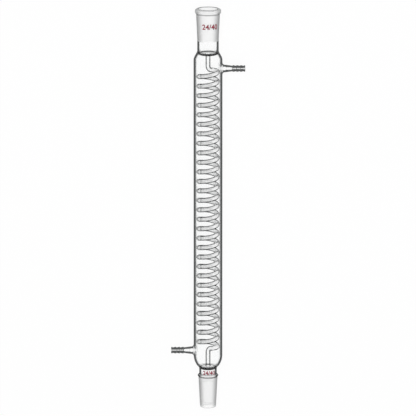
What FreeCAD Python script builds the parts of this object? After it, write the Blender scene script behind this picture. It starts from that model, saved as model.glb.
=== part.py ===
import FreeCAD, Part
import math
import os
from FreeCAD import Vector

# Coil condenser of blown borosilicate glass, in millimetres.
# It is modelled upright: the axis is Z, the mouth of the lower joint is at height 0,
# and the front is the side at -Y. The last step lays it on its jacket, as it rests on a bench.

# Ground joints, standard taper 24/40
JOINT_DIAMETER = 24.0  # ground surface, large end
JOINT_LENGTH = 40.0  # ground surface, along the axis
JOINT_TAPER = 0.1  # diameter lost for each unit of length

# Inner joint, the ground cone at the bottom
CONE_WALL = 2.0
CONE_MOUTH_ROUND = 1.6  # fire-polished outer edge
LIP_STAND_OUT = 0.9  # lip beyond the large end of the cone
LIP_HEIGHT = 1.9
LIP_ROUND = 0.5
LOWER_NECK_DIAMETER = 22.0
LOWER_NECK_WALL = 1.8
LOWER_NECK_LENGTH = 13.1  # from the top of the ground cone to the ring seal
LOWER_SEAL_DIAMETER = 26.0  # where the jacket is sealed on

# Outer joint, the ground socket at the top
SOCKET_WALL = 2.8  # at the mouth
SOCKET_WALL_GAIN = 0.6  # how much thicker it is at the small end
SOCKET_LIP = 1.2  # polished lip above the ground surface
BEAD_STAND_OUT = 1.5
BEAD_HEIGHT = 6.8
UPPER_NECK_DIAMETER = 26.7
UPPER_NECK_WALL = 2.2
UPPER_NECK_LENGTH = 16.0  # from the ring seal to the ground surface
UPPER_SEAL_DIAMETER = 29.8
NECK_STEP = 3.0  # length over which the socket's bore opens out to the neck

# Ring seals, the glass floors that close the jacket around the ends of the coil
SEAL_THICKNESS = 2.0
SEAL_CORNER_ROUND = 1.2
STUB_HEIGHT = 1.6  # pulled stub that the coil's leg is sealed to
STUB_FLARE = 1.0  # how far the stub's foot spreads beyond the tube
TUBE_END_RISE = 1.0  # rim of the tube's open end, above the floor of the upper neck

# Jacket
JACKET_LENGTH = 400.0  # between the ring seals
JACKET_DIAMETER = 36.0
JACKET_WALL = 1.8
LOWER_SHOULDER_HEIGHT = 14.2
UPPER_SHOULDER_ANGLE = 28.4  # from the axis, in degrees
UPPER_SHOULDER_ROUND = 10.0

# Side necks and hose connections
LOWER_HOSE_HEIGHT = 20.2  # hose axis above the lower ring seal
UPPER_HOSE_DROP = 18.8  # hose axis below the upper ring seal
SIDE_NECK_REACH = 4.2  # pulled neck, beyond the jacket
SIDE_NECK_DIAMETER = 9.2
SIDE_NECK_BORE = 5.6
SIDE_NECK_ROUND = 3.2
PORT_ROUND = 2.5  # edge of the port inside the jacket
HOSE_REACH = 28.4  # from the jacket to the tip
HOSE_BORE = 4.2
STEM_DIAMETER = 7.0  # where the serrations begin
SERRATION_COUNT = 3
SERRATION_PITCH = 4.7
SERRATION_RISE = 0.75  # crest above the stem
SERRATION_SLOPE = 3.4  # length of the side that a hose slides up
TIP_LENGTH = 1.8
TIP_DIAMETER = 8.0
HOSE_ROUND = 0.4

# Coil
COIL_TUBE_DIAMETER = 6.0
COIL_TUBE_WALL = 1.0
COIL_CLEARANCE = 1.4  # between the coil and the jacket
COIL_PITCH = 12.1  # close to this: the turns fill the height between the legs evenly
COIL_BEND_RADIUS = 6.0  # where each leg turns from the axis to the coil
LOWER_LEG_HEIGHT = 25.2  # from the lower ring seal to the start of the first turn
UPPER_LEG_HEIGHT = 23.0  # from the end of the last turn to the upper ring seal

JACKET_RADIUS = JACKET_DIAMETER / 2
JACKET_BORE_RADIUS = JACKET_RADIUS - JACKET_WALL
LOWER_SEAL_Z = JOINT_LENGTH + LOWER_NECK_LENGTH
UPPER_SEAL_Z = LOWER_SEAL_Z + JACKET_LENGTH
SOCKET_FOOT_Z = UPPER_SEAL_Z + UPPER_NECK_LENGTH
TOP_Z = SOCKET_FOOT_Z + JOINT_LENGTH + SOCKET_LIP
LARGE_END_RADIUS = JOINT_DIAMETER / 2
SMALL_END_RADIUS = LARGE_END_RADIUS - JOINT_TAPER * JOINT_LENGTH / 2
COIL_TUBE_RADIUS = COIL_TUBE_DIAMETER / 2
COIL_BORE_RADIUS = COIL_TUBE_RADIUS - COIL_TUBE_WALL


def at(radius, height):
    """A point of a profile, in the plane through the axis."""
    return Vector(radius, 0, height)


def line(start, end):
    return Part.LineSegment(start, end).toShape()


def arc(start, through, end):
    return Part.Arc(start, through, end).toShape()


def turned(edges):
    """The solid of revolution about Z of a closed profile."""
    return Part.Face(Part.Wire(edges)).revolve(Vector(), Vector(0, 0, 1), 360)


def rounded(corners):
    """The edges of a closed profile, from corners (radius, height, rounding)."""
    points = [at(radius, height) for radius, height, _ in corners]
    bends = []
    for i, (_, _, rounding) in enumerate(corners):
        here = points[i]
        back = (points[i - 1] - here).normalize()
        ahead = (points[(i + 1) % len(points)] - here).normalize()
        if rounding == 0:
            bends.append((here, None, here))
            continue
        half = back.getAngle(ahead) / 2
        reach = rounding / math.tan(half)
        middle = (back + ahead).normalize() * (rounding / math.sin(half) - rounding)
        bends.append((here + back * reach, here + middle, here + ahead * reach))
    edges = []
    for i, (start, middle, end) in enumerate(bends):
        if middle is not None:
            edges.append(arc(start, middle, end))
        edges.append(line(end, bends[(i + 1) % len(bends)][0]))
    return edges


def lower_shoulder_arc():
    """Radius, centre height and slope at the seal of the arc that rounds in the jacket's lower end."""
    draw_in = (JACKET_DIAMETER - LOWER_SEAL_DIAMETER) / 2
    radius = (draw_in**2 + LOWER_SHOULDER_HEIGHT**2) / (2 * draw_in)
    slope = math.asin(LOWER_SHOULDER_HEIGHT / radius)
    return radius, LOWER_SEAL_Z + LOWER_SHOULDER_HEIGHT, slope


def inner_joint():
    """Ground cone, lip and neck, closed by the lower ring seal with a stub for the coil."""
    slope = lower_shoulder_arc()[2]
    lip = LARGE_END_RADIUS + LIP_STAND_OUT
    neck = LOWER_NECK_DIAMETER / 2
    seal = LOWER_SEAL_DIAMETER / 2
    flare_z = LOWER_SEAL_Z - (seal - neck) / math.tan(slope)
    stub_z = LOWER_SEAL_Z + STUB_HEIGHT
    ceiling = LOWER_SEAL_Z - SEAL_THICKNESS
    neck_bore = neck - LOWER_NECK_WALL
    return turned(
        rounded(
            [
                (SMALL_END_RADIUS, 0, CONE_MOUTH_ROUND),
                (LARGE_END_RADIUS, JOINT_LENGTH, LIP_ROUND),
                (lip, JOINT_LENGTH + LIP_STAND_OUT, LIP_ROUND),
                (lip, JOINT_LENGTH + LIP_HEIGHT, LIP_ROUND),
                (neck, JOINT_LENGTH + LIP_HEIGHT + LIP_STAND_OUT, LIP_ROUND),
                (neck, flare_z, SEAL_CORNER_ROUND),
                (seal, LOWER_SEAL_Z, 0),
                (COIL_TUBE_RADIUS + STUB_FLARE, LOWER_SEAL_Z, 0),
                (COIL_TUBE_RADIUS, LOWER_SEAL_Z + STUB_FLARE, STUB_FLARE / 2),
                (COIL_TUBE_RADIUS, stub_z, 0),
                (COIL_BORE_RADIUS, stub_z, 0),
                (COIL_BORE_RADIUS, ceiling, 0),
                (neck_bore, ceiling, SEAL_CORNER_ROUND),
                (neck_bore, JOINT_LENGTH, SEAL_CORNER_ROUND),
                (SMALL_END_RADIUS - CONE_WALL, 0, 0),
            ]
        )
    )


def outer_joint():
    """Ground socket with its bead and neck, closed by the upper ring seal with a stub for the coil."""
    slope = math.radians(UPPER_SHOULDER_ANGLE)
    neck = UPPER_NECK_DIAMETER / 2
    seal = UPPER_SEAL_DIAMETER / 2
    flare_z = UPPER_SEAL_Z + (seal - neck) / math.tan(slope)
    floor = UPPER_SEAL_Z + SEAL_THICKNESS
    neck_bore = neck - UPPER_NECK_WALL
    foot = max(SMALL_END_RADIUS + SOCKET_WALL + SOCKET_WALL_GAIN, neck)
    body = LARGE_END_RADIUS + SOCKET_WALL
    mouth_z = TOP_Z - SOCKET_LIP
    bead_z = TOP_Z - BEAD_HEIGHT
    crown = body + BEAD_STAND_OUT
    return turned(
        rounded(
            [
                (seal, UPPER_SEAL_Z, 0),
                (neck, flare_z, UPPER_SHOULDER_ROUND / 2),
                (neck, SOCKET_FOOT_Z, 0),
                (foot, SOCKET_FOOT_Z + NECK_STEP, 0),
                (body, bead_z, 0),
                (crown, bead_z + BEAD_STAND_OUT, BEAD_STAND_OUT),
                (crown, TOP_Z - BEAD_STAND_OUT, BEAD_STAND_OUT),
                (body - SOCKET_LIP, TOP_Z, SOCKET_LIP),
                (LARGE_END_RADIUS + SOCKET_LIP / 2, TOP_Z, SOCKET_LIP / 2),
                (LARGE_END_RADIUS, mouth_z, 0),
                (SMALL_END_RADIUS, SOCKET_FOOT_Z, 0),
                (neck_bore, SOCKET_FOOT_Z - NECK_STEP, NECK_STEP / 2),
                (neck_bore, floor, SEAL_CORNER_ROUND),
                (COIL_TUBE_RADIUS, floor, 0),
                (COIL_TUBE_RADIUS, floor + TUBE_END_RISE, COIL_TUBE_WALL / 3),
                (COIL_BORE_RADIUS, floor + TUBE_END_RISE, COIL_TUBE_WALL / 3),
                (COIL_BORE_RADIUS, UPPER_SEAL_Z - STUB_HEIGHT, 0),
                (COIL_TUBE_RADIUS, UPPER_SEAL_Z - STUB_HEIGHT, 0),
                (COIL_TUBE_RADIUS, UPPER_SEAL_Z - STUB_FLARE, STUB_FLARE / 2),
                (COIL_TUBE_RADIUS + STUB_FLARE, UPPER_SEAL_Z, 0),
            ]
        )
    )


def jacket_shell():
    """The jacket's tube with a rounded lower shoulder and a coned upper one."""
    arc_radius, arc_z, arc_slope = lower_shoulder_arc()
    arc_axis = JACKET_RADIUS - arc_radius
    cone = math.radians(UPPER_SHOULDER_ANGLE)
    seal = UPPER_SEAL_DIAMETER / 2

    def shoulder_points(wall):
        """Key points of the surface that lies wall inside the outer one, from the bottom up."""
        side = JACKET_RADIUS - wall
        low_radius = arc_radius - wall
        foot = at(arc_axis + math.sqrt(low_radius**2 - LOWER_SHOULDER_HEIGHT**2), LOWER_SEAL_Z)
        half = math.asin(LOWER_SHOULDER_HEIGHT / low_radius) / 2
        low_middle = at(arc_axis + low_radius * math.cos(half), arc_z - low_radius * math.sin(half))
        top = at(seal - wall / math.cos(cone), UPPER_SEAL_Z)
        corner_z = UPPER_SEAL_Z - (side - top.x) / math.tan(cone)
        rounding = UPPER_SHOULDER_ROUND - wall
        reach = rounding * math.tan(cone / 2)
        start = at(side, corner_z - reach)
        centre = start - at(rounding, 0)
        middle = centre + at(math.cos(cone / 2), math.sin(cone / 2)) * rounding
        end = centre + at(math.cos(cone), math.sin(cone)) * rounding
        return foot, low_middle, at(side, arc_z), start, middle, end, top

    def surface(points):
        foot, low_middle, wall_start, wall_end, middle, cone_start, top = points
        return [
            arc(foot, low_middle, wall_start),
            line(wall_start, wall_end),
            arc(wall_end, middle, cone_start),
            line(cone_start, top),
        ]

    outside = shoulder_points(0)
    inside = shoulder_points(JACKET_WALL)
    rims = [line(outside[-1], inside[-1]), line(inside[0], outside[0])]
    return turned(Part.__sortEdges__(surface(outside) + surface(inside) + rims))


def facing_out(shape, side, height):
    """Stands a shape made about Z out from the jacket, towards +X (side 1) or -X (side -1)."""
    shape.rotate(Vector(), Vector(0, 1, 0), 90)
    if side < 0:
        shape.rotate(Vector(), Vector(0, 0, 1), 180)
    shape.translate(Vector(0, 0, height))
    return shape


def hose_ports():
    """Side and height of each hose connection: the upper one at +X, the lower one at -X."""
    return {
        "upper_hose_connection": (1, UPPER_SEAL_Z - UPPER_HOSE_DROP),
        "lower_hose_connection": (-1, LOWER_SEAL_Z + LOWER_HOSE_HEIGHT),
    }


def edges_round_port(shape, side, height, port_radius, cylinder_radius):
    """The edges where a port of port_radius cuts a cylinder of cylinder_radius about the jacket's axis."""
    found = []
    for edge in shape.Edges:
        middle = edge.valueAt((edge.FirstParameter + edge.LastParameter) / 2)
        off_port = math.hypot(middle.y, middle.z - height)
        off_axis = math.hypot(middle.x, middle.y)
        on_side = middle.x * side > 0
        if on_side and abs(off_port - port_radius) < 0.01 and abs(off_axis - cylinder_radius) < 0.01:
            found.append(edge)
    return found


def jacket():
    """The jacket with a neck pulled out of its wall for each hose connection."""
    neck_radius = SIDE_NECK_DIAMETER / 2
    port_radius = SIDE_NECK_BORE / 2
    face = JACKET_RADIUS + SIDE_NECK_REACH
    body = jacket_shell()
    body.rotate(Vector(), Vector(0, 0, 1), 90)  # its seam line then runs clear of both ports
    inner_edges = []
    outer_edges = []
    for side, height in hose_ports().values():
        neck = Part.makeCylinder(neck_radius, face - JACKET_BORE_RADIUS, Vector(0, 0, JACKET_BORE_RADIUS))
        core = Part.makeCylinder(JACKET_BORE_RADIUS, neck_radius * 4, Vector(0, 0, height - neck_radius * 2))
        core.rotate(Vector(), Vector(0, 0, 1), 90)
        body = body.fuse(facing_out(neck, side, height).cut(core))
        body = body.cut(facing_out(Part.makeCylinder(port_radius, face), side, height))
    for side, height in hose_ports().values():
        inner_edges += edges_round_port(body, side, height, port_radius, JACKET_BORE_RADIUS)
    body = body.makeFillet(PORT_ROUND, inner_edges)
    for side, height in hose_ports().values():
        outer_edges += edges_round_port(body, side, height, neck_radius, JACKET_RADIUS)
    return body.makeFillet(SIDE_NECK_ROUND, outer_edges).Solids[0]


def hose_connection(side, height):
    """Serrated hose connection, from the jacket's side neck to its tip."""
    root = JACKET_RADIUS + SIDE_NECK_REACH
    tip = JACKET_RADIUS + HOSE_REACH
    stem = STEM_DIAMETER / 2
    crest = stem + SERRATION_RISE
    bore = HOSE_BORE / 2
    first = tip - TIP_LENGTH - SERRATION_COUNT * SERRATION_PITCH
    corners = [(SIDE_NECK_BORE / 2, root, 0), (SIDE_NECK_DIAMETER / 2, root, 0)]
    for i in range(SERRATION_COUNT):
        start = first + i * SERRATION_PITCH
        corners += [
            (stem, start, HOSE_ROUND),
            (crest, start + (SERRATION_PITCH - SERRATION_SLOPE) / 2, HOSE_ROUND),
            (stem, start + (SERRATION_PITCH + SERRATION_SLOPE) / 2, 0),
        ]
    corners += [
        (stem, tip - TIP_LENGTH, 0),
        (TIP_DIAMETER / 2, tip - TIP_LENGTH + (TIP_DIAMETER - STEM_DIAMETER) / 2, HOSE_ROUND),
        (TIP_DIAMETER / 2, tip, HOSE_ROUND),
        (bore, tip, HOSE_ROUND),
        (bore, first, HOSE_ROUND),
    ]
    return facing_out(turned(rounded(corners)), side, height)


def helix(radius, centre_x, start_z, start_angle, end_angle, rise):
    """Helix edges about a vertical line, one edge a turn, from start_angle up to end_angle in radians."""
    count = max(1, round((end_angle - start_angle) / (2 * math.pi)))
    step = (end_angle - start_angle) / count
    pitch = rise * 2 * math.pi
    edges = []
    for i in range(count):
        turn = Part.makeHelix(pitch, rise * step, radius)
        turn.rotate(Vector(), Vector(0, 0, 1), math.degrees(start_angle + i * step))
        turn.translate(Vector(centre_x, 0, start_z + rise * step * i))
        edges += turn.Edges
    return edges


def leg(joint_end, heading, end_angle, end_z, up):
    """Straight leg on the axis and the bend that takes it out to the coil, which falls away at end_angle."""
    fall = math.pi / 2 - end_angle
    side = 1 if up else -1
    bend_z = end_z + side * COIL_BEND_RADIUS * math.cos(end_angle)
    centre = heading * COIL_BEND_RADIUS + Vector(0, 0, bend_z)
    across = heading * -COIL_BEND_RADIUS
    drop = Vector(0, 0, -side * COIL_BEND_RADIUS)
    middle = centre + across * math.cos(fall / 2) + drop * math.sin(fall / 2)
    end = centre + across * math.cos(fall) + drop * math.sin(fall)
    start = Vector(0, 0, bend_z)
    return [line(Vector(0, 0, joint_end), start), arc(start, middle, end)]


def coil_path():
    """Centre line of the coil: leg, hook, turns, hook and leg, each running smoothly into the next."""
    radius = JACKET_BORE_RADIUS - COIL_CLEARANCE - COIL_TUBE_RADIUS
    low_z = LOWER_SEAL_Z + LOWER_LEG_HEIGHT
    high_z = UPPER_SEAL_Z - UPPER_LEG_HEIGHT
    turns = round((high_z - low_z) / COIL_PITCH)
    pitch = (high_z - low_z) / turns
    slope = math.atan(pitch / (2 * math.pi * radius))
    # Each hook is a smaller helix of the same slope. It touches the coil from inside at +X
    # and meets the leg's bend where that one comes away from the axis.
    bend_reach = COIL_BEND_RADIUS * (1 - math.sin(slope))
    hook = (radius**2 - bend_reach**2) / (2 * radius)
    leave = math.asin(hook / (radius - hook))
    sweep = leave + math.pi / 2
    hook_rise = hook * math.tan(slope)
    coil_rise = radius * math.tan(slope)
    hook_height = hook_rise * sweep
    low_heading = Vector(math.cos(leave), -math.sin(leave), 0)
    high_heading = Vector(math.cos(leave), math.sin(leave), 0)
    edges = (
        leg(LOWER_SEAL_Z + STUB_HEIGHT, low_heading, slope, low_z - hook_height, False)
        + helix(hook, radius - hook, low_z - hook_height, -sweep, 0, hook_rise)
        + helix(radius, 0, low_z, 0, turns * 2 * math.pi, coil_rise)
        + helix(hook, radius - hook, high_z, 0, sweep, hook_rise)
        + leg(UPPER_SEAL_Z - STUB_HEIGHT, high_heading, slope, high_z + hook_height, True)
    )
    return Part.Wire(Part.__sortEdges__(edges))


def coil():
    """The coil's tube: its ring section swept along the centre line from leg to leg."""
    start = Vector(0, 0, LOWER_SEAL_Z + STUB_HEIGHT)
    up = Vector(0, 0, 1)
    rings = [Part.Wire([Part.Circle(start, up, r).toShape()]) for r in (COIL_TUBE_RADIUS, COIL_BORE_RADIUS)]
    tube = coil_path().makePipe(Part.Face(rings))
    tube.fix(1e-4, 1e-4, 1e-4)
    return tube


def laid_down(shape):
    """Lays the upright shape on its jacket: socket towards +Y, front up, centred over the origin."""
    placed = shape.copy()
    placed.rotate(Vector(), Vector(1, 0, 0), -90)
    placed.translate(Vector(0, -TOP_Z / 2, JACKET_RADIUS))
    return placed


def main():
    parts = {
        "inner_joint": inner_joint(),
        "outer_joint": outer_joint(),
        "jacket": jacket(),
        "coil": coil(),
    }
    for name, (side, height) in hose_ports().items():
        parts[name] = hose_connection(side, height)
    os.makedirs("parts", exist_ok=True)
    for name, shape in parts.items():
        placed = laid_down(shape)
        placed.exportStep(f"parts/{name}.step")
        box = placed.BoundBox
        print(f"{name}: valid {placed.isValid()}, solids {len(placed.Solids)}, volume {placed.Volume:.1f}")
        print(f"  x {box.XMin:.2f} {box.XMax:.2f}, y {box.YMin:.2f} {box.YMax:.2f}, z {box.ZMin:.2f} {box.ZMax:.2f}")


main()
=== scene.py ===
import math

import bmesh
import bpy
from bpy.props import FloatProperty, FloatVectorProperty, IntProperty, PointerProperty, StringProperty
import numpy as np
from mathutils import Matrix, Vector
from mathutils.bvhtree import BVHTree


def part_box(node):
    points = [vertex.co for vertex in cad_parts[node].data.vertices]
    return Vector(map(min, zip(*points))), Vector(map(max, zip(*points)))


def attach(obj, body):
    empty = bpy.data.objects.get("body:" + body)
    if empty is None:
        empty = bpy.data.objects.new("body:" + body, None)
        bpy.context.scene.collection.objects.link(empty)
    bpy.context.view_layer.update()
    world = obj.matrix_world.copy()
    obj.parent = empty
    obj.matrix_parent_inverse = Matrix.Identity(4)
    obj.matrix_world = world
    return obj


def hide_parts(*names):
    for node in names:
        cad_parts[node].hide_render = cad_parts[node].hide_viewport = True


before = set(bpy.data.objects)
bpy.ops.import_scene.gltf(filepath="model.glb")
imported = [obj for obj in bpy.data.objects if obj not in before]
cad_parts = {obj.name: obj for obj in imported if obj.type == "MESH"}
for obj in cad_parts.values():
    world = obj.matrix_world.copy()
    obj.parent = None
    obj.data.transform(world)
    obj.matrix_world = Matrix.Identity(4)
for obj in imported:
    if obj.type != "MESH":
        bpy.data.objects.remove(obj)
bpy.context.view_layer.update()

bl_info = {
    "name": "Coil condenser",
    "version": (1, 0, 0),
    "blender": (4, 5, 0),
    "location": "View3D > Sidebar > Condenser",
    "description": "Glass finishes, printed sizes and stage for a coil condenser",
    "category": "Object",
}

# The condenser lies along Y with its socket at +Y, and its front faces up.
JACKET_LOW, JACKET_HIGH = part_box("jacket")
JACKET_RADIUS = JACKET_HIGH.z / 2
AXIS_HEIGHT = JACKET_RADIUS
LOWER_SEAL_Y = JACKET_LOW.y
UPPER_SEAL_Y = JACKET_HIGH.y
MOUTH_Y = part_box("outer_joint")[1].y
CONE_TIP_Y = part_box("inner_joint")[0].y

WHITE = (1.0, 1.0, 1.0)
COLOUR = {"subtype": "COLOR", "size": 3, "min": 0, "max": 1}
SHARE = {"min": 0, "max": 1}

# Material slots of a tube
OUTSIDE = 0
BORE = 1
FUSED = 2


class CondenserSizes(bpy.types.PropertyGroup):
    """Sizes that the finishes and the print follow."""

    joint_length: FloatProperty(
        name="Ground length", description="Length of each ground surface", default=0.040, unit="LENGTH"
    )
    socket_lip: FloatProperty(
        name="Socket lip", description="Polished lip beyond the ground bore", default=0.0012, unit="LENGTH"
    )
    socket_foot_radius: FloatProperty(
        name="Socket foot", description="Radius where the socket's outside starts to widen",
        default=0.0134, unit="LENGTH",
    )
    socket_top_radius: FloatProperty(
        name="Socket top", description="Radius where the socket's outside stops widening",
        default=0.0148, unit="LENGTH",
    )
    socket_taper_rise: FloatProperty(
        name="Socket taper rise", description="From the ground bore's foot to where the outside widens",
        default=0.003, unit="LENGTH",
    )
    socket_taper_length: FloatProperty(
        name="Socket taper length", description="Length over which the socket's outside widens",
        default=0.0314, unit="LENGTH",
    )
    bead_height: FloatProperty(
        name="Bead", description="Height of the bead at the socket's mouth", default=0.0068, unit="LENGTH"
    )
    jacket_wall: FloatProperty(
        name="Jacket wall", description="Thickness of the jacket", default=0.0018, unit="LENGTH"
    )
    upper_neck_radius: FloatProperty(
        name="Upper neck", description="Radius of the neck below the socket",
        default=0.01335, unit="LENGTH",
    )
    upper_neck_wall: FloatProperty(
        name="Upper neck wall", description="Thickness of the upper neck", default=0.0022, unit="LENGTH"
    )
    lower_neck_radius: FloatProperty(
        name="Lower neck", description="Radius of the neck above the cone", default=0.011, unit="LENGTH"
    )
    lower_neck_wall: FloatProperty(
        name="Lower neck wall", description="Thickness of the lower neck", default=0.0018, unit="LENGTH"
    )
    side_neck_bore: FloatProperty(
        name="Side neck bore", description="Clear width of the side necks", default=0.0056, unit="LENGTH"
    )
    serrations_start: FloatProperty(
        name="Serrations", description="From the axis to a hose connection's first serration",
        default=0.03, unit="LENGTH",
    )
    upper_ring_rise: FloatProperty(
        name="Upper ring rise", description="From the upper seal to the thick ring above it",
        default=0.0006, unit="LENGTH",
    )
    upper_ring_radius: FloatProperty(
        name="Upper ring", description="Radius of the thick ring in the upper seal",
        default=0.0111, unit="LENGTH",
    )
    upper_ring_shape: FloatVectorProperty(
        name="Upper ring shape", description="Thickness in front and behind, and how far it hangs in front",
        size=3, unit="LENGTH", default=(0.0029, 0.0019, 0.0004),
    )
    lower_ring_drop: FloatProperty(
        name="Lower ring drop", description="From the lower seal to the thick ring below it",
        default=0.0013, unit="LENGTH",
    )
    lower_ring_radius: FloatProperty(
        name="Lower ring", description="Radius of the thick ring in the lower seal",
        default=0.0100, unit="LENGTH",
    )
    lower_ring_shape: FloatVectorProperty(
        name="Lower ring shape", description="Thickness in front and behind, and how far it hangs in front",
        size=3, unit="LENGTH", default=(0.0038, 0.0009, 0.0003),
    )
    coil_tube: FloatProperty(
        name="Coil tube", description="Outer diameter of the coil's tube", default=0.006, unit="LENGTH"
    )
    coil_wall: FloatProperty(
        name="Coil wall", description="Thickness of the coil's tube", default=0.001, unit="LENGTH"
    )
    coil_turns: IntProperty(name="Turns", description="Turns of the coil", default=29, min=1)
    bend_radius: FloatProperty(
        name="Bend", description="Radius of the bend from each leg to the coil", default=0.006, unit="LENGTH"
    )
    lower_leg: FloatProperty(
        name="Lower leg", description="From the lower seal to the first turn", default=0.0252, unit="LENGTH"
    )
    upper_leg: FloatProperty(
        name="Upper leg", description="From the last turn to the upper seal", default=0.023, unit="LENGTH"
    )


class CondenserPrint(bpy.types.PropertyGroup):
    """The fired-on sizes."""

    joint_size: StringProperty(name="Joint size", description="Size printed at both joints", default="24/40")
    socket_height: FloatProperty(
        name="Height on the socket", description="Height of the figures", default=0.0068, unit="LENGTH"
    )
    socket_drop: FloatProperty(
        name="Drop from the mouth", description="From the mouth to the figures' middle",
        default=0.0214, unit="LENGTH",
    )
    socket_shift: FloatProperty(
        name="Shift on the socket", description="How far right of the middle the figures stand",
        default=0.0027, unit="LENGTH",
    )
    neck_height: FloatProperty(
        name="Height on the neck", description="Height of the figures", default=0.0053, unit="LENGTH"
    )
    neck_rise: FloatProperty(
        name="Rise from the cone", description="From the cone's tip to the figures' middle",
        default=0.0462, unit="LENGTH",
    )
    neck_shift: FloatProperty(
        name="Shift on the neck", description="How far right of the middle the figures stand",
        default=0.0014, unit="LENGTH",
    )
    thickness: FloatProperty(
        name="Thickness", description="How far the fired print stands up", default=0.00004, unit="LENGTH"
    )
    boldness: FloatProperty(
        name="Boldness", description="How far a stroke grows, as a share of the type's size", default=0.024
    )
    ink: FloatVectorProperty(
        name="Print", description="Colour of the print", default=(0.42, 0.018, 0.05), **COLOUR
    )


class CondenserGlass(bpy.types.PropertyGroup):
    """Colours and clearness of the glass."""

    clear: FloatVectorProperty(
        name="Clear", description="What one face lets through", default=(0.996, 0.997, 0.997), **COLOUR
    )
    veil: FloatVectorProperty(
        name="Veil", description="What one face lets through where it turns away from the eye",
        default=(0.97, 0.973, 0.973), **COLOUR,
    )
    edge: FloatVectorProperty(
        name="Edge", description="What one face lets through where the eye looks along the wall",
        default=(0.32, 0.325, 0.325), **COLOUR,
    )
    coil_edge: FloatVectorProperty(
        name="Coil edge", description="The same for the thin wall of the coil",
        default=(0.36, 0.365, 0.365), **COLOUR,
    )
    seal_edge: FloatVectorProperty(
        name="Seal edge", description="The same for the ring seals and the coil's darkest lines",
        default=(0.16, 0.162, 0.162), **COLOUR,
    )
    ground_edge: FloatVectorProperty(
        name="Ground edge", description="The same for the wall around the ground socket",
        default=(0.62, 0.625, 0.625), **COLOUR,
    )
    ground: FloatVectorProperty(
        name="Ground", description="Colour of the ground surfaces", default=WHITE, **COLOUR
    )
    # Painted shade: ground surfaces take this colour towards their sides, and the cone's ripples use it too.
    ground_shade: FloatVectorProperty(
        name="Ground shade", description="Colour of the ground surfaces where they turn away",
        default=(0.42, 0.425, 0.425), **COLOUR,
    )
    cloud: FloatVectorProperty(
        name="Cloud", description="Colour of what clouds the view through clear glass",
        default=WHITE, **COLOUR,
    )
    cloud_shade: FloatVectorProperty(
        name="Cloud shade", description="The same where the coil is shaded",
        default=(0.42, 0.425, 0.425), **COLOUR,
    )
    lip_line: FloatVectorProperty(
        name="Lip line", description="Colour of the dark line round the foot and the ends of the cone's lip",
        default=(0.03, 0.03, 0.03), **COLOUR,
    )
    jacket_milk: FloatProperty(
        name="Jacket milk", description="How far one face of the jacket clouds the view",
        default=0.006, **SHARE,
    )
    coil_milk: FloatProperty(
        name="Coil milk", description="How far one face of the coil clouds the view", default=0.5, **SHARE
    )
    coil_outline: FloatProperty(
        name="Coil outline", description="Share of the coil tube's half width that its dark outline takes",
        default=0.33, **SHARE,
    )


class CondenserStage(bpy.types.PropertyGroup):
    """Camera, floor and light."""

    distance: FloatProperty(
        name="Distance", description="From the condenser to the camera", default=7.0, unit="LENGTH"
    )
    tilt: FloatProperty(
        name="Tilt", description="How far the camera leans towards the socket", subtype="ANGLE",
        default=math.radians(12),
    )
    aim: FloatProperty(
        name="Aim", description="How far above the middle the camera looks", default=0.0013, unit="LENGTH"
    )
    picture_scale: FloatProperty(
        name="Scale", description="Length of the condenser that one pixel covers", default=0.00128172,
        unit="LENGTH", precision=6,
    )
    floor_size: FloatProperty(name="Floor", description="Side of the floor", default=12.0, unit="LENGTH")
    floor_colour: FloatVectorProperty(
        name="Floor colour", description="Colour of the floor that light falls on",
        default=(0.9, 0.9, 0.9), **COLOUR,
    )
    floor_glow: FloatProperty(
        name="Floor glow", description="How far the eye sees the floor as plain white",
        default=0.93, **SHARE,
    )
    sky: FloatProperty(name="Sky", description="Strength of the light from all round", default=0.36)
    lamp_size: FloatProperty(name="Lamp", description="Side of the soft lamp", default=1.6, unit="LENGTH")
    lamp_height: FloatProperty(
        name="Lamp height", description="Height of the lamp", default=2.0, unit="LENGTH"
    )
    lamp_shift: FloatProperty(
        name="Lamp shift", description="How far the lamp stands towards the socket",
        default=0.2, unit="LENGTH",
    )
    lamp_power: FloatProperty(name="Lamp power", description="Power of the lamp", default=33.0, unit="POWER")


class Reading:
    """A number in a finish. Arithmetic on it adds Math nodes."""

    def __init__(self, finish, socket):
        self.finish = finish
        self.socket = socket

    def maths(self, operation, first, second=None):
        values = {0: first} if second is None else {0: first, 1: second}
        return self.finish.node("ShaderNodeMath", {"operation": operation}, values)

    def __add__(self, other):
        return self.maths("ADD", self, other)

    __radd__ = __add__

    def __sub__(self, other):
        return self.maths("SUBTRACT", self, other)

    def __rsub__(self, other):
        return self.maths("SUBTRACT", other, self)

    def __mul__(self, other):
        return self.maths("MULTIPLY", self, other)

    __rmul__ = __mul__

    def __pow__(self, other):
        return self.maths("POWER", self, other)

    def __rpow__(self, other):
        return self.maths("POWER", other, self)

    def __abs__(self):
        return self.maths("ABSOLUTE", self)


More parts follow.
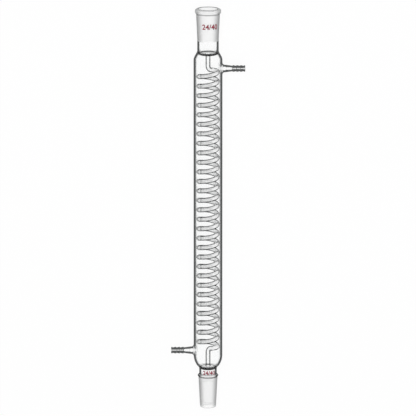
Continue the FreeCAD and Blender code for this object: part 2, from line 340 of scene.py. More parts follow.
class Finish:
    """A material, or the world, under construction."""

    def __init__(self, name, library="materials"):
        self.made = getattr(bpy.data, library).new(name)
        self.made.use_nodes = True
        self.tree = self.made.node_tree
        self.tree.nodes.clear()

    def add(self, kind, settings=None, values=None):
        """Adds a node, sets it up and fills its sockets."""
        made = self.tree.nodes.new(kind)
        for key, value in (settings or {}).items():
            setattr(made, key, value)
        for key, value in (values or {}).items():
            if isinstance(value, Reading):
                self.tree.links.new(value.socket, made.inputs[key])
            else:
                made.inputs[key].default_value = value
        return made

    def node(self, kind, settings=None, values=None, output=0):
        """Adds a node and returns one of its outputs."""
        return Reading(self, self.add(kind, settings, values).outputs[output])

    def between(self, value, low, high):
        """0 where the reading is at low, 1 at high, smooth between."""
        limits = {"Value": value, "From Min": low, "From Max": high}
        return self.node("ShaderNodeMapRange", {"interpolation_type": "SMOOTHSTEP"}, limits)

    def inside(self, value, low, high, fade):
        """1 between two limits, with a soft edge."""
        return self.between(value, low - fade, low) * (1 - self.between(value, high, high + fade))

    def least(self, first, second):
        return self.node("ShaderNodeMath", {"operation": "MINIMUM"}, {0: first, 1: second})

    def most(self, first, second):
        return self.node("ShaderNodeMath", {"operation": "MAXIMUM"}, {0: first, 1: second})

    def mix(self, share, first, second):
        """A surface between two surfaces."""
        return self.node("ShaderNodeMixShader", None, {0: share, 1: first, 2: second})

    def blend(self, share, first, second):
        """A colour between two colours."""
        colours = {"Factor": share, 6: opaque(first), 7: opaque(second)}
        return self.node("ShaderNodeMix", {"data_type": "RGBA"}, colours, 2)

    def film(self, colour):
        """A face that only tints what is behind it."""
        return self.node("ShaderNodeBsdfTransparent", None, {"Color": opaque(colour)})

    def matt(self, colour, normal=None):
        """A face that scatters light evenly."""
        values = {"Color": opaque(colour)}
        if normal is not None:
            values["Normal"] = normal
        return self.node("ShaderNodeBsdfDiffuse", None, values)

    def vector(self, x, y, z):
        return self.node("ShaderNodeCombineXYZ", None, {0: x, 1: y, 2: z})

    def point(self):
        """The three coordinates of the place that is looked at."""
        place = self.node("ShaderNodeTexCoord", None, None, "Object")
        split = self.add("ShaderNodeSeparateXYZ", None, {0: place})
        return tuple(Reading(self, split.outputs[i]) for i in range(3))

    def place(self):
        """Height along the condenser and distance from its axis."""
        x, y, z = self.point()
        up = z - AXIS_HEIGHT
        return y, (x * x + up * up) ** 0.5

    def stored(self, name, output):
        """What a mesh stores at its points under that name."""
        return self.node("ShaderNodeAttribute", {"attribute_name": name}, None, output)

    def facing(self, direction=None):
        """1 where a direction of length 1, or else the face, points at the eye, and 0 where it is across."""
        values = {"Blend": 0.5}
        if direction is not None:
            values["Normal"] = direction
        return 1 - self.node("ShaderNodeLayerWeight", None, values, "Facing")

    def seen_square(self, run):
        """How far a face would point at an eye that stood square to a tube that runs that way."""
        along = self.facing(run)
        least_square = 0.04
        return self.facing() * self.most(1 - along * along, least_square) ** -0.5

    def to_the_eye(self):
        """1 for rays from the camera, or from it by way of glass or a mirror, and 0 for light."""
        rays = self.add("ShaderNodeLightPath")
        kinds = ("Is Camera Ray", "Is Glossy Ray", "Is Transmission Ray")
        camera, glossy, through = (Reading(self, rays.outputs[kind]) for kind in kinds)
        return self.most(self.most(camera, glossy), through)

    def surface(self, shader, output="ShaderNodeOutputMaterial"):
        """Closes the finish with what its nodes have made."""
        self.add(output, None, {"Surface": shader})
        return self.made


def opaque(colour):
    return (*colour, 1.0)


def off_middle(finish, square):
    """How far across a tube's half width a face is seen: 0 on its middle and 1 on its outline."""
    return (1 - finish.least(square * square, 1.0)) ** 0.5


def outline_share(finish, square, share, softness=0.05):
    """1 in the outer share of a tube's half width."""
    return finish.between(off_middle(finish, square), 1 - share - softness, 1 - share + softness)


def wall_share(wall, radius, magnified):
    """The share of a tube's half width that its wall takes, as the glass magnifies it."""
    return wall * magnified / radius


def clear_shader(finish, look, outline, milk, edge, shade=0.0):
    """Clear glass: it lets the picture through, mirrors a little and goes dark at its outline."""
    cloud = finish.mix(shade, finish.matt(look.cloud), finish.matt(look.cloud_shade))
    turned_away = 1 - finish.between(finish.facing(), 0.3, 0.8)
    body = finish.mix(milk, finish.mix(turned_away, finish.film(look.clear), finish.film(look.veil)), cloud)
    shine = finish.node("ShaderNodeBsdfGlossy", None, {"Color": opaque(WHITE), "Roughness": 0.05})
    mirror_share = 0.3
    mirrored = finish.node("ShaderNodeFresnel", None, {"IOR": 1.3}) * mirror_share
    return finish.mix(outline, finish.mix(mirrored, body, shine), finish.film(edge))


def ground_shader(finish, look, ripple_and_painted_shade):
    """Finely ground glass: a white bloom that scatters light and hides what is behind it. Where its mask is
    up, the bloom takes the darker ground_shade colour: painted shade towards its sides, and on the cone its
    ripples too.
    """
    speckle = finish.node("ShaderNodeTexNoise", {"noise_dimensions": "3D"}, {"Scale": 1500.0, "Detail": 4.0})
    bump = finish.node("ShaderNodeBump", None, {"Strength": 0.1, "Distance": 0.0001, "Height": speckle})
    bloom = finish.mix(ripple_and_painted_shade, finish.matt(look.ground, bump), finish.matt(look.ground_shade, bump))
    glow = finish.node("ShaderNodeBsdfTranslucent", None, {"Color": opaque(look.ground)})
    glow_share = 0.15
    clear_share = 0.1
    return finish.mix(clear_share, finish.mix(glow_share, bloom, glow), finish.film(WHITE))


def hose_glass(sizes, look):
    """Clear glass of the hose connections: a dark wall, wider along the serrations."""
    finish = Finish("hose_end_glass")
    x, _, _ = finish.point()
    fade = 0.0015
    start = sizes.serrations_start
    serrated = finish.between(abs(x), start - fade, start + fade)
    across = off_middle(finish, finish.seen_square(finish.vector(1, 0, 0)))
    serration_share = 0.16
    widened = serrated * serration_share
    outline = finish.between(across, 0.36 - widened, 0.48 - widened)
    milk = 0.08
    return finish.surface(clear_shader(finish, look, outline, milk, look.edge))


class CoilSpot:
    """Where on the coil the eye looks, as masks from 0 to 1, and how the tube lies there."""

    def __init__(self, finish):
        _, radius = finish.place()
        x, _, z = finish.point()
        self.cosine = finish.facing()
        self.run = finish.stored("run", "Vector")
        self.along = finish.facing(self.run)
        self.lift = finish.stored("lift", "Fac")
        self.on_leg = 1 - finish.between(radius, 0.0045, 0.0065)
        self.inner_side = 1 - finish.between(radius, 0.0098, 0.0110)
        self.outer_side = finish.between(radius, 0.0116, 0.0126)
        self.left = 1 - finish.between(x, -0.006, -0.003)
        self.middle = finish.between(x, -0.013, -0.007) * (1 - finish.between(x, 0.0, 0.007))
        self.right = finish.between(x, 0.004, 0.008)
        self.far_right = finish.between(x, 0.0075, 0.0095)
        self.front = finish.between(z, AXIS_HEIGHT - 0.002, AXIS_HEIGHT + 0.002)
        self.in_front = finish.between(z, AXIS_HEIGHT + 0.003, AXIS_HEIGHT + 0.006)


def coil_outline(finish, spot, share):
    """Where the wall looks dark: along both sides of the tube, and round each turn at the coil's sides."""
    across = finish.seen_square(spot.run)
    leg_share = share + 0.12
    on_turn = outline_share(finish, across, share)
    beside = on_turn + (outline_share(finish, across, leg_share) - on_turn) * spot.on_leg
    to_eye = finish.between(spot.along, 0.7, 0.85)
    end_on = finish.between(spot.along, 0.93, 0.97)
    closing = to_eye * finish.most(spot.outer_side, end_on) * 0.26
    round_the_turn = 1 - finish.between(spot.cosine, 0.2 + closing, 0.36 + closing - spot.right * 0.08)
    between_turns = finish.between(spot.lift * (spot.front * 2 - 1), -0.1, 0.3) * spot.far_right
    inside_fades = 1 - spot.right * spot.inner_side * 0.65
    between_fades = 1 - between_turns * 0.85
    return finish.most(beside, round_the_turn) * inside_fades * between_fades


def coil_darkest(finish, spot, outline):
    """Where the outline is darkest: on the outer side of the turns, at the right."""
    outer_line = (1 - finish.between(spot.cosine, 0.46, 0.58)) * spot.outer_side
    outer_line = outer_line * finish.between(spot.along, 0.6, 0.75)
    under_the_back = finish.between(0 - spot.lift, 0.2, 0.6) * (1 - spot.front)
    off_inner_side = outline * (1 - spot.inner_side) * 0.85
    return finish.most(outer_line * (1 - under_the_back), off_inner_side) * spot.right


def coil_milk(finish, spot, milk):
    """How far the glass clouds the view: more at the right, less on the legs, end on and behind."""
    right_milk = 0.9
    back_share = 0.3
    end_on = finish.between(spot.along, 0.86, 0.94)
    leg_loss = 0.8
    end_loss = 0.75
    milk = milk * (1 - spot.on_leg * leg_loss) * (1 - end_on * end_loss)
    milk = milk + (right_milk - milk) * spot.right
    return milk * (back_share + spot.front * (1 - back_share))


def coil_glass(look):
    """Clear glass of the coil. Its outline keeps one width however the tube runs to the eye."""
    finish = Finish("coil_glass")
    spot = CoilSpot(finish)
    outline = coil_outline(finish, spot, look.coil_outline)
    milk = coil_milk(finish, spot, look.coil_milk)
    # Painted shade: a dark spot on the front of the turns' left ends, where the tube runs towards the eye.
    painted_dark_spot = finish.inside(spot.along, 0.6, 0.68, 0.08) * spot.left * spot.in_front
    middle_shade = 0.3
    shade = finish.most(spot.middle * middle_shade, painted_dark_spot)
    glass = clear_shader(finish, look, outline, milk, look.coil_edge, shade)
    darkest = coil_darkest(finish, spot, outline)
    return finish.surface(finish.mix(darkest, glass, finish.film(look.seal_edge)))


def seal_glass(look):
    """The thick ring of glass in a seal, dark because the eye looks along it."""
    finish = Finish("seal_ring_glass")
    darkness = 0.93
    milk = 0.05
    return finish.surface(clear_shader(finish, look, darkness, milk, look.seal_edge))


def bore_glass(name, look, milk):
    """Clear glass inside a tube, where the outline of the wall isn't drawn twice."""
    finish = Finish(name)
    return finish.surface(clear_shader(finish, look, 0.0, milk, look.edge))


def fused_glass():
    """Faces inside a seal, where two pieces are one glass: they can't be seen."""
    finish = Finish("fused_glass")
    return finish.surface(finish.film(WHITE))


def middle_y(node):
    """Where along the condenser the middle of a node is."""
    low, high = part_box(node)
    return (low.y + high.y) / 2


def jacket_glass(sizes, look):
    """The jacket's outside. Its outline opens where a side neck leaves it and runs on along the neck."""
    finish = Finish("jacket_glass")
    x, y, _ = finish.point()
    beyond = finish.between(abs(x), JACKET_RADIUS - 0.0006, JACKET_RADIUS + 0.0012)
    jacket_share = wall_share(sizes.jacket_wall, JACKET_RADIUS, magnified=1.55)
    side_neck_share = 0.52
    half_bore = sizes.side_neck_bore / 2
    along_jacket = finish.seen_square(finish.vector(0, 1, 0))
    along_neck = finish.seen_square(finish.vector(1, 0, 0))
    on_tube = outline_share(finish, along_jacket, jacket_share, softness=0.06)
    on_neck = outline_share(finish, along_neck, side_neck_share)
    outline = on_tube + (on_neck - on_tube) * beyond
    for neck_y, side in ((middle_y("upper_hose_connection"), 1), (middle_y("lower_hose_connection"), -1)):
        mouth = 1 - finish.between(abs(y - neck_y), half_bore, half_bore + 0.0012)
        this_side = finish.between(x * side, 0.012, 0.014)
        outline = outline * (1 - mouth * this_side * (1 - beyond))
    return finish.surface(clear_shader(finish, look, outline, look.jacket_milk, look.edge))


def off_discs(finish):
    """0 on faces that look along the condenser, such as a ring seal's disc, and 1 elsewhere."""
    normal = finish.node("ShaderNodeNewGeometry", None, None, "Normal")
    along = abs(finish.node("ShaderNodeSeparateXYZ", None, {0: normal}, 1))
    return 1 - finish.between(along, 0.75, 0.95)


def socket_foot(sizes):
    """Where along the condenser the socket's ground bore ends."""
    return MOUTH_Y - sizes.socket_lip - sizes.joint_length


def socket_glass(sizes, look):
    """The socket's outside: bloomed by the ground bore behind it, glassy at the bead, clear on the neck."""
    finish = Finish("socket_glass")
    square = finish.seen_square(finish.vector(0, 1, 0))
    across = off_middle(finish, square)
    y, radius = finish.place()
    _, _, z = finish.point()
    foot = socket_foot(sizes)
    bead = MOUTH_Y - sizes.bead_height
    above = finish.between(y, foot, foot + 0.0008)
    on_body = finish.inside(y, foot, bead - 0.0002, 0.0004)
    front = finish.between(z, AXIS_HEIGHT - 0.002, AXIS_HEIGHT + 0.004)
    on_bead = finish.between(y, bead - 0.0002, bead + 0.0004) * front

    neck_share = wall_share(sizes.upper_neck_wall, sizes.upper_neck_radius, magnified=1.15)
    neck_outline = outline_share(finish, square, neck_share, softness=0.02) * off_discs(finish)
    neck = clear_shader(finish, look, neck_outline, look.jacket_milk, look.edge)

    wall_shade = finish.between(across, 0.45, 1.0) * 0.9
    milk = 0.12
    bead_milk = 0.5
    glassy = clear_shader(finish, look, wall_shade, milk + on_bead * bead_milk, look.ground_edge)
    # Painted shade: the ground bloom darkens towards the socket's sides.
    ground = ground_shader(finish, look, finish.between(across, 0.4, 1.0))
    bloom = 0.8
    upper = finish.mix(on_body, glassy, finish.mix(bloom, glassy, ground))

    crease = finish.inside(y, bead - 0.0004, bead + 0.0007, 0.0003)
    rim = finish.inside(radius, 0.0118, 0.0130, 0.0003)
    mouth = finish.between(y, MOUTH_Y - 0.0009, MOUTH_Y - 0.0003) * rim
    crease_strength = 0.45
    mouth_strength = 0.7
    lines = finish.most(crease * crease_strength, mouth * mouth_strength)
    upper = finish.mix(lines, upper, finish.film(look.edge))
    return finish.surface(finish.mix(above, neck, upper))


def socket_bore_glass(sizes, look):
    """The socket's inside: ground on the taper and clear at the mouth and below."""
    finish = Finish("socket_bore_glass")
    y, _ = finish.place()
    foot = socket_foot(sizes)
    clear_mouth = 0.004
    ground = finish.inside(y, foot, foot + sizes.joint_length - clear_mouth, 0.0004)
    clear = clear_shader(finish, look, 0.0, look.jacket_milk, look.edge)
    return finish.surface(finish.mix(ground, clear, ground_shader(finish, look, 0.0)))


def cone_neck(finish, sizes, look, square, y, radius):
    """Clear glass above the cone: dark along the wall of the neck and of the stub that meets the coil."""
    neck = sizes.lower_neck_radius
    neck_share = wall_share(sizes.lower_neck_wall, neck, magnified=1.4)
    off_lip = 1 - finish.between(radius, neck + 0.0003, neck + 0.0008)
    neck_outline = outline_share(finish, square, neck_share, softness=0.02) * off_lip * off_discs(finish)
    in_jacket = finish.between(y, LOWER_SEAL_Y, LOWER_SEAL_Y + 0.0002)
    on_stub = (1 - finish.between(radius, 0.0042, 0.0046)) * in_jacket
    stub_share = 0.4
    stub_outline = outline_share(finish, square, stub_share) * on_stub
    outline = finish.most(neck_outline, stub_outline)
    return clear_shader(finish, look, outline, look.jacket_milk, look.edge)


def cone_ground(finish, look, square, point, lip_y):
    """Ground glass of the cone: a little uneven near its two ends, with painted shade towards its sides, and
    half clear at the tip.
    """
    x, y, z = point
    along, around = 900, 90
    stretched = finish.vector(x * around, y * along, z * around)
    ripple = finish.node(
        "ShaderNodeTexNoise", {"noise_dimensions": "3D"}, {"Vector": stretched, "Scale": 1.0, "Detail": 2.0}
    )
    near_lip = finish.inside(y, lip_y - 0.0062, lip_y - 0.0008, 0.0008)
    near_tip = finish.inside(y, CONE_TIP_Y + 0.0045, CONE_TIP_Y + 0.0075, 0.001)
    ripple_strength = 0.45
    rippled = finish.between(ripple, 0.45, 0.65) * finish.most(near_lip, near_tip) * ripple_strength
    # Painted shade towards the cone's sides, joined with the ripples near its two ends.
    ripple_and_painted_shade = finish.most(rippled, finish.between(off_middle(finish, square), 0.4, 1.02))
    tip = 1 - finish.between(y, CONE_TIP_Y + 0.002, CONE_TIP_Y + 0.0045)
    tip_clearness = 0.5
    ground = ground_shader(finish, look, ripple_and_painted_shade)
    return finish.mix(tip * tip_clearness, ground, finish.film(look.clear))


def cone_glass(sizes, look):
    """The cone's outside: ground on the taper, with a lip lined in dark whose front is painted light, a
    white matt face lit as if it faced outward, and clear above.
    """
    finish = Finish("cone_glass")
    square = finish.seen_square(finish.vector(0, 1, 0))
    y, radius = finish.place()
    point = finish.point()
    x, _, z = point
    lip_y = CONE_TIP_Y + sizes.joint_length
    front = finish.between(z, AXIS_HEIGHT - 0.006, AXIS_HEIGHT + 0.001)
    from_axis = finish.vector(x, 0, z - AXIS_HEIGHT)
    outward = finish.node("ShaderNodeVectorMath", {"operation": "NORMALIZE"}, {0: from_axis})
    clear = cone_neck(finish, sizes, look, square, y, radius)
    ground = cone_ground(finish, look, square, point, lip_y)

    off_neck = finish.between(radius, sizes.lower_neck_radius + 0.0002, sizes.lower_neck_radius + 0.0005)
    on_lip = off_neck * (1 - finish.between(y, lip_y + 0.0030, lip_y + 0.0034)) * front
    # Painted light: the front of the clear lip is drawn as a white matt face, its shading normal pointing
    # away from the axis so that it catches light as if it faced outward.
    lip_painted_light = 0.95
    painted_light_lip = finish.mix(on_lip * lip_painted_light, clear, finish.matt(WHITE, outward))
    seal_rim = finish.between(radius, 0.0115, 0.0122)
    back_arc = finish.inside(y, LOWER_SEAL_Y - 0.0007, LOWER_SEAL_Y, 0.0003) * seal_rim * (1 - front)
    arc_strength = 0.475
    above = finish.mix(back_arc * arc_strength, painted_light_lip, finish.film(look.seal_edge))
    on_ground = 1 - finish.between(y, lip_y, lip_y + 0.0004)
    whole = finish.mix(on_ground, above, ground)

    foot = finish.inside(y, lip_y - 0.0008, lip_y + 0.0010, 0.0002) * front
    turned_away = 1 - finish.between(finish.facing(outward), 0.55, 0.85)
    ends = finish.inside(y, lip_y + 0.0002, lip_y + 0.0021, 0.0003) * turned_away
    foot_strength = 0.7
    lines = finish.between(radius, 0.0117, 0.0119) * finish.most(foot * foot_strength, ends)
    return finish.surface(finish.mix(lines, whole, finish.matt(look.lip_line)))


def add_piece(name, mesh):
    """Adds a piece of the condenser that moves with it."""
    piece = bpy.data.objects.new(name, mesh)
    bpy.context.scene.collection.objects.link(piece)
    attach(piece, "root")
    return piece


def dress(node, outside, bore, reach, seams, fused):
    """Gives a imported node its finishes: one outside, one in its bore and one on its fused ends.

    A face belongs to the bore where a line from it, square to it, meets the same node within reach.
    A seam is an axis (0 or 1) and a place on it.
    """
    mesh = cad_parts[node].data
    mesh.materials.clear()
    for material in (outside, bore, fused):
        mesh.materials.append(material)
    count = len(mesh.polygons)
    centres = np.empty(count * 3)
    normals = np.empty(count * 3)
    mesh.polygons.foreach_get("center", centres)
    mesh.polygons.foreach_get("normal", normals)
    centres = centres.reshape(-1, 3)
    normals = normals.reshape(-1, 3)
    slots = np.full(count, OUTSIDE, dtype=np.int32)
    work = bmesh.new()
    work.from_mesh(mesh)
    tree = BVHTree.FromBMesh(work)
    work.free()
    off_the_face = 1e-5
    starts = centres + normals * off_the_face
    for i in range(count):
        if tree.ray_cast(Vector(starts[i]), Vector(normals[i]), reach)[0] is not None:
            slots[i] = BORE
    close = 5e-5
    square_on = 0.9
    for axis, place in seams:
        on_seam = (abs(centres[:, axis] - place) < close) & (abs(normals[:, axis]) > square_on)
        slots[on_seam] = FUSED
    mesh.polygons.foreach_set("material_index", slots)
    mesh.update()


class CONDENSER_OT_jacket(bpy.types.Operator):
    """Finish the water jacket and its hose connections"""

    bl_idname = "condenser.jacket"
    bl_label = "Jacket and hose connections"

    def execute(self, context):
        sizes = context.scene.condenser_sizes
        look = context.scene.condenser_glass
        fused = fused_glass()
        hose_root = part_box("upper_hose_connection")[0].x
        seams = [(0, hose_root), (0, -hose_root), (1, LOWER_SEAL_Y), (1, UPPER_SEAL_Y)]
        bore = bore_glass("jacket_bore_glass", look, look.jacket_milk)
        dress("jacket", jacket_glass(sizes, look), bore, 2 * JACKET_RADIUS, seams, fused)
        hose = hose_glass(sizes, look)
        hose_bore = bore_glass("hose_end_bore_glass", look, 0.02)
        hose_reach = 0.006
        for node in ("upper_hose_connection", "lower_hose_connection"):
            dress(node, hose, hose_bore, hose_reach, seams[:2], fused)
        return {"FINISHED"}


def coil_path(sizes):
    """Points of the coil's centre line with the way the tube runs there: leg, hook, turns, hook, leg."""
    low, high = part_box("coil")
    radius = high.x - sizes.coil_tube / 2
    start = LOWER_SEAL_Y + sizes.lower_leg
    end = UPPER_SEAL_Y - sizes.upper_leg
    slope = math.atan((end - start) / (sizes.coil_turns * 2 * math.pi * radius))
    bend = sizes.bend_radius
    bend_reach = bend * (1 - math.sin(slope))
    hook = (radius**2 - bend_reach**2) / (2 * radius)
    leave = math.asin(hook / (radius - hook))
    sweep = leave + math.pi / 2
    hook_rise = hook * math.tan(slope)
    bend_turn = math.pi / 2 - slope
    low_hook = start - hook_rise * sweep
    high_hook = end + hook_rise * sweep
    low_bend = low_hook - bend * math.cos(slope)
    high_bend = high_hook + bend * math.cos(slope)
    leg_steps, bend_steps, hook_steps, turn_steps = 6, 12, 20, 44
    path = []

    def put(x, back, y, run_x, run_back, run_y):
        path.append((Vector((x, y, AXIS_HEIGHT - back)), Vector((run_x, run_y, -run_back)).normalized()))

    def steps(first, last, count):
        return [first + (last - first) * i / count for i in range(count + 1)]

    def round_turn(middle_x, turn_radius, y, angle, rise):
        out = turn_radius * math.cos(angle)
        back = turn_radius * math.sin(angle)
        put(middle_x + out, back, y, -back, out, rise)

    def round_bend(side, y, angle):
        out = bend * (1 - math.cos(angle))
        run = math.sin(angle)
        across, back = math.cos(leave), side * math.sin(leave)
        put(out * across, out * back, y, -side * run * across, -run * math.sin(leave), math.cos(angle))

    for y in steps(low.y, low_bend, leg_steps):
        put(0, 0, y, 0, 0, 1)
    for a in steps(0, bend_turn, bend_steps)[1:]:
        round_bend(-1, low_bend + bend * math.sin(a), a)
    for a in steps(-sweep, 0, hook_steps)[1:]:
        round_turn(radius - hook, hook, start + hook_rise * a, a, hook_rise)
    whole = 2 * math.pi * sizes.coil_turns
    for a in steps(0, whole, turn_steps * sizes.coil_turns)[1:]:
        round_turn(0, radius, start + (end - start) * a / whole, a, (end - start) / whole)
    for a in steps(0, sweep, hook_steps)[1:]:
        round_turn(radius - hook, hook, end + hook_rise * a, a, hook_rise)
    for a in reversed(steps(0, bend_turn, bend_steps)[:-1]):
        round_bend(1, high_bend - bend * math.sin(a), a)
    for y in steps(high_bend, high.y, leg_steps)[1:]:
        put(0, 0, y, 0, 0, 1)
    return path


def store(mesh, name, kind, key, values):
    """Keeps values at the mesh's points, for its finish to read."""
    mesh.attributes.new(name, kind, "POINT").data.foreach_set(key, values)


def pipe_mesh(name, path, radii, around):
    """A pipe along a path with its outside, its bore and its two ends, each in its material slot.

    Its points know which way the pipe runs there, and how far the wall there faces along the condenser.
    """
    points = []
    runs = []
    lifts = []
    faces = []
    slots = []
    across = Vector((1, 0, 0))
    for place, run in path:
        across = (across - run * across.dot(run)).normalized()
        other = run.cross(across)
        for radius in radii:
            for k in range(around):
                turn = 2 * math.pi * k / around
                out = across * math.cos(turn) + other * math.sin(turn)
                points.append(place + out * radius)
                runs.extend(run)
                lifts.append(out.y)
    ring = 2 * around
    for i in range(len(path) - 1):
        for k in range(around):
            a = i * ring + k
            b = i * ring + (k + 1) % around
            faces.append((a, b, b + ring, a + ring))
            faces.append((a + around, a + around + ring, b + around + ring, b + around))
            slots += [OUTSIDE, BORE]
    last = (len(path) - 1) * ring
    for k in range(around):
        b = (k + 1) % around
        faces.append((k, k + around, b + around, b))
        faces.append((last + k, last + b, last + b + around, last + k + around))
        slots += [FUSED, FUSED]
    mesh = bpy.data.meshes.new(name)
    mesh.from_pydata(points, [], faces)
    mesh.polygons.foreach_set("material_index", slots)
    mesh.polygons.foreach_set("use_smooth", [slot != FUSED for slot in slots])
    store(mesh, "run", "FLOAT_VECTOR", "vector", runs)
    store(mesh, "lift", "FLOAT", "value", lifts)
    mesh.update()
    return mesh


class CONDENSER_OT_coil(bpy.types.Operator):
    """Wind the vapour tube smoothly along its centre line and give it its glass"""

    bl_idname = "condenser.coil"
    bl_label = "Coil"

    def execute(self, context):
        sizes = context.scene.condenser_sizes
        look = context.scene.condenser_glass
        outer = sizes.coil_tube / 2
        sides = 20
        mesh = pipe_mesh("coil_tube", coil_path(sizes), (outer, outer - sizes.coil_wall), sides)
        mesh.materials.append(coil_glass(look))
        mesh.materials.append(bore_glass("coil_bore_glass", look, 0.0))
        mesh.materials.append(fused_glass())
        tube = add_piece("coil_tube", mesh)
        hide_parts("coil")
        return {"FINISHED"}


def seal_ring_mesh(name, y, radius, front, back, lean):
    """A ring about the condenser's axis, thick in front and thin behind, that hangs down in front."""
    points = []
    faces = []
    around, sides = 96, 12
    for i in range(around):
        a = 2 * math.pi * i / around
        half = (front + back + (front - back) * math.sin(a)) / 4
        for k in range(sides):
            b = 2 * math.pi * k / sides
            out = radius + half * math.cos(b)
            height = y + half * math.sin(b) - lean * math.sin(a)
            points.append((out * math.cos(a), height, AXIS_HEIGHT + out * math.sin(a)))
            c = i * sides + k
            d = i * sides + (k + 1) % sides
            step = sides if i < around - 1 else sides * (1 - around)
            faces.append((c, c + step, d + step, d))
    mesh = bpy.data.meshes.new(name)
    mesh.from_pydata(points, [], faces)
    mesh.polygons.foreach_set("use_smooth", [True] * len(faces))
    mesh.update()
    return mesh


class CONDENSER_OT_joints(bpy.types.Operator):
    """Finish the socket and the cone, ground on their tapers"""

    bl_idname = "condenser.joints"
    bl_label = "Ground joints"

    def execute(self, context):
        sizes = context.scene.condenser_sizes
        look = context.scene.condenser_glass
        coil_low, coil_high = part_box("coil")
        fused = fused_glass()
        socket_bore = socket_bore_glass(sizes, look)
        socket_reach = 0.025
        seam = [(1, coil_high.y)]
        dress("outer_joint", socket_glass(sizes, look), socket_bore, socket_reach, seam, fused)
        cone_bore = bore_glass("cone_bore_glass", look, look.jacket_milk)
        cone_reach = 0.0215
        seam = [(1, coil_low.y)]
        dress("inner_joint", cone_glass(sizes, look), cone_bore, cone_reach, seam, fused)
        ring_glass = seal_glass(look)
        upper_y = UPPER_SEAL_Y + sizes.upper_ring_rise
        lower_y = LOWER_SEAL_Y - sizes.lower_ring_drop
        for name, y, radius, shape in (
            ("upper_seal_ring", upper_y, sizes.upper_ring_radius, sizes.upper_ring_shape),
            ("lower_seal_ring", lower_y, sizes.lower_ring_radius, sizes.lower_ring_shape),
        ):
            ring = add_piece(name, seal_ring_mesh(name, y, radius, *shape))
            ring.data.materials.append(ring_glass)
        return {"FINISHED"}


def figures_mesh(text, height, boldness, slice_width):
    """Flat mesh of printed figures, centred, cut into narrow slices so that it bends smoothly."""
    curve = bpy.data.curves.new("figures", "FONT")
    curve.body = text
    curve.align_x = "CENTER"
    curve.align_y = "CENTER"
    curve.size = 1.0
    curve.offset = boldness
    holder = bpy.data.objects.new("figures", curve)
    bpy.context.scene.collection.objects.link(holder)
    bpy.context.view_layer.update()
    flat = bpy.data.meshes.new_from_object(holder.evaluated_get(bpy.context.evaluated_depsgraph_get()))
    bpy.data.objects.remove(holder)
    bpy.data.curves.remove(curve)
    work = bmesh.new()
    work.from_mesh(flat)
    bpy.data.meshes.remove(flat)
    low = min(v.co.y for v in work.verts)
    high = max(v.co.y for v in work.verts)
    scale = height / (high - low)
    middle = (low + high) / 2
    for v in work.verts:
        v.co = Vector((v.co.x * scale, (v.co.y - middle) * scale, 0))
    left = min(v.co.x for v in work.verts)
    right = max(v.co.x for v in work.verts)
    cuts = int((right - left) / slice_width)
    for i in range(1, cuts):
        where = Vector((left + (right - left) * i / cuts, 0, 0))
        everything = work.verts[:] + work.edges[:] + work.faces[:]
        bmesh.ops.bisect_plane(work, geom=everything, plane_co=where, plane_no=Vector((1, 0, 0)))
    return work


def print_figures(name, marks, height, shift, printed_y, radius_at):
    """Fires the size onto a tube's front, where radius_at gives the tube's radius at a place along it."""
    slice_width = 0.0005
    work = figures_mesh(marks.joint_size, height, marks.boldness, slice_width)
    bmesh.ops.solidify(work, geom=work.faces[:], thickness=marks.thickness)
    off_the_glass = marks.thickness * 0.2
    for v in work.verts:
        y = printed_y + v.co.y
        radius = radius_at(y) + max(v.co.z, 0) + off_the_glass
        turn = (v.co.x + shift) / radius_at(y)
        v.co = Vector((radius * math.sin(turn), y, AXIS_HEIGHT + radius * math.cos(turn)))
    bmesh.ops.recalc_face_normals(work, faces=work.faces[:])
    mesh = bpy.data.meshes.new(name)
    work.to_mesh(mesh)
    work.free()
    return add_piece(name, mesh)


def fired_print(marks):
    """Red enamel, glossy, a little thin and uneven."""
    finish = Finish("red_print")
    patchy = finish.node("ShaderNodeTexNoise", None, {"Scale": 700.0, "Detail": 2.0})
    paleness = 0.25
    pale = tuple(channel + (1 - channel) * paleness for channel in marks.ink)
    colour = finish.blend(finish.between(patchy, 0.45, 0.8), marks.ink, pale)
    enamel = {"Base Color": colour, "Roughness": 0.35}
    return finish.surface(finish.node("ShaderNodeBsdfPrincipled", None, enamel))


class CONDENSER_OT_print(bpy.types.Operator):
    """Print the joint size on the socket and on the lower neck"""

    bl_idname = "condenser.print_sizes"
    bl_label = "Printed sizes"

    def execute(self, context):
        marks = context.scene.condenser_print
        sizes = context.scene.condenser_sizes
        red = fired_print(marks)
        taper_y = socket_foot(sizes) + sizes.socket_taper_rise
        widening = (sizes.socket_top_radius - sizes.socket_foot_radius) / sizes.socket_taper_length

        def socket_radius(y):
            return sizes.socket_foot_radius + widening * (y - taper_y)

        def neck_radius(y):
            return sizes.lower_neck_radius

        on_socket = print_figures(
            "socket_size_print", marks, marks.socket_height, marks.socket_shift,
            MOUTH_Y - marks.socket_drop, socket_radius,
        )
        on_neck = print_figures(
            "neck_size_print", marks, marks.neck_height, marks.neck_shift,
            CONE_TIP_Y + marks.neck_rise, neck_radius,
        )
        for piece in (on_socket, on_neck):
            piece.data.materials.append(red)
        return {"FINISHED"}


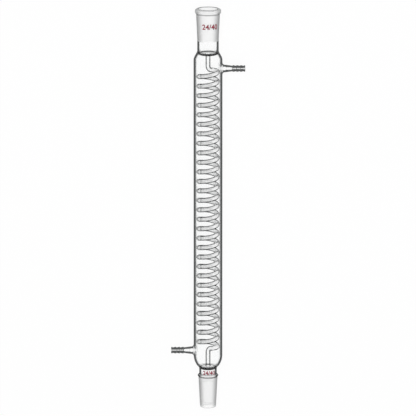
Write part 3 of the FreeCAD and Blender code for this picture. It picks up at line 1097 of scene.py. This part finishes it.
class CONDENSER_OT_stage(bpy.types.Operator):
    """Set the white floor, the soft light and the camera"""

    bl_idname = "condenser.stage"
    bl_label = "Stage"

    def execute(self, context):
        stage = context.scene.condenser_stage
        self.lay_floor(context, stage)
        self.set_light(context, stage)
        self.aim_camera(context, stage)
        context.scene.view_settings.view_transform = "Standard"
        context.scene.cycles.transparent_max_bounces = 64
        return {"FINISHED"}

    def lay_floor(self, context, stage):
        """A floor just under the jacket, which the eye sees as white and which keeps its shadows."""
        mesh = bpy.data.meshes.new("floor")
        half = stage.floor_size / 2
        corners = [(-half, -half, 0), (half, -half, 0), (half, half, 0), (-half, half, 0)]
        mesh.from_pydata(corners, [], [(0, 1, 2, 3)])
        floor = bpy.data.objects.new("floor", mesh)
        gap = 0.0001
        floor.location.z = -gap
        context.scene.collection.objects.link(floor)
        finish = Finish("floor_white")
        white = finish.node("ShaderNodeEmission", None, {"Color": opaque(WHITE), "Strength": 1.0})
        seen_white = finish.to_the_eye() * stage.floor_glow
        mesh.materials.append(finish.surface(finish.mix(seen_white, finish.matt(stage.floor_colour), white)))

    def set_light(self, context, stage):
        """A sky that the eye sees as white, and one soft lamp above."""
        sky = Finish("studio", "worlds")
        strength = stage.sky + sky.to_the_eye() * (1 - stage.sky)
        glow = sky.node("ShaderNodeBackground", None, {"Color": opaque(WHITE), "Strength": strength})
        context.scene.world = sky.surface(glow, "ShaderNodeOutputWorld")
        light = bpy.data.lights.new("soft_lamp", "AREA")
        light.size = stage.lamp_size
        light.energy = stage.lamp_power
        lamp = bpy.data.objects.new("soft_lamp", light)
        lamp.location = (0, stage.lamp_shift, stage.lamp_height)
        lamp.visible_glossy = False
        context.scene.collection.objects.link(lamp)

    def aim_camera(self, context, stage):
        """A distant camera that looks down on the condenser and leans towards the socket."""
        lens = bpy.data.cameras.new("camera")
        camera = bpy.data.objects.new("camera", lens)
        context.scene.collection.objects.link(camera)
        middle = Vector((0, stage.aim, AXIS_HEIGHT))
        lean = Vector((0, math.sin(stage.tilt), math.cos(stage.tilt)))
        camera.location = middle + lean * stage.distance
        camera.rotation_euler = (-stage.tilt, 0, 0)
        picture_pixels = 416
        focal_pixels = stage.distance / (stage.picture_scale * math.cos(stage.tilt))
        lens.lens = focal_pixels * lens.sensor_width / picture_pixels
        lens.clip_end = 50
        context.scene.camera = camera


class CONDENSER_PT_sidebar(bpy.types.Panel):
    """Sizes, colours and steps of the condenser"""

    bl_label = "Coil condenser"
    bl_idname = "CONDENSER_PT_sidebar"
    bl_space_type = "VIEW_3D"
    bl_region_type = "UI"
    bl_category = "Condenser"

    def draw(self, context):
        layout = self.layout
        for group, name in GROUPS:
            box = layout.box()
            for key in group.__annotations__:
                box.prop(getattr(context.scene, name), key)
        for operator in OPERATORS:
            layout.operator(operator.bl_idname)


GROUPS = (
    (CondenserSizes, "condenser_sizes"),
    (CondenserGlass, "condenser_glass"),
    (CondenserPrint, "condenser_print"),
    (CondenserStage, "condenser_stage"),
)
OPERATORS = (
    CONDENSER_OT_jacket,
    CONDENSER_OT_coil,
    CONDENSER_OT_joints,
    CONDENSER_OT_print,
    CONDENSER_OT_stage,
)


def register():
    for group, name in GROUPS:
        bpy.utils.register_class(group)
        setattr(bpy.types.Scene, name, PointerProperty(type=group))
    for operator in OPERATORS:
        bpy.utils.register_class(operator)
    bpy.utils.register_class(CONDENSER_PT_sidebar)


def unregister():
    bpy.utils.unregister_class(CONDENSER_PT_sidebar)
    for operator in reversed(OPERATORS):
        bpy.utils.unregister_class(operator)
    for group, name in reversed(GROUPS):
        delattr(bpy.types.Scene, name)
        bpy.utils.unregister_class(group)


def main():
    register()
    bpy.ops.condenser.jacket()
    bpy.ops.condenser.coil()
    bpy.ops.condenser.joints()
    bpy.ops.condenser.print_sizes()
    bpy.ops.condenser.stage()


if __name__ == "__main__":
    main()
